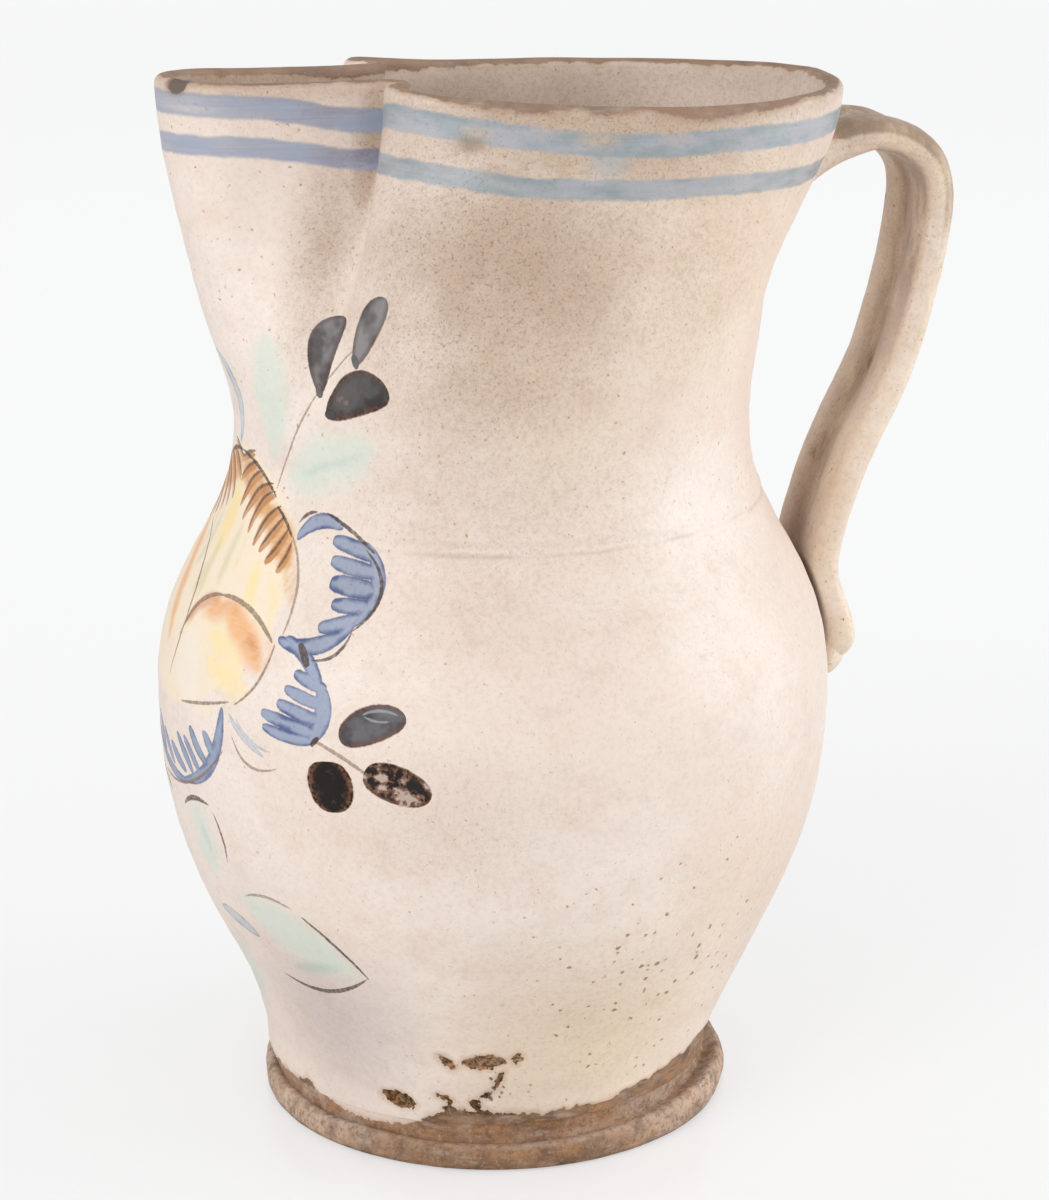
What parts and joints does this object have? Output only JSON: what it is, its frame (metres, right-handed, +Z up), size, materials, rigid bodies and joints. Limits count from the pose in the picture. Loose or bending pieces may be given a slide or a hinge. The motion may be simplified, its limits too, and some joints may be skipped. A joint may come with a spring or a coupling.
{
  "type": "maiolica jug",
  "caption": "Round-bellied glazed earthenware jug with a waisted neck, pinched pouring mouth, strap handle and disc foot, for holding and pouring liquid.",
  "frame": {"origin": "centre of the flat underside of the disc foot, on the jug's turning axis", "axes": "+Z up along the turning axis, -X towards the pouring spout, +X towards the handle"},
  "size_m": [0.1861, 0.1568, 0.2432],
  "materials": {
    "bare_earthenware": "matte",
    "glazed_body": "satin",
    "glazed_handle": "satin"
  },
  "bodies": {
    "root": {"foot": "bare_earthenware", "belly": "glazed_body", "neck": "glazed_body", "handle_strap": "glazed_handle", "upper_handle_luting": "glazed_handle", "lower_handle_luting": "glazed_handle"}
  },
  "joints": []
}
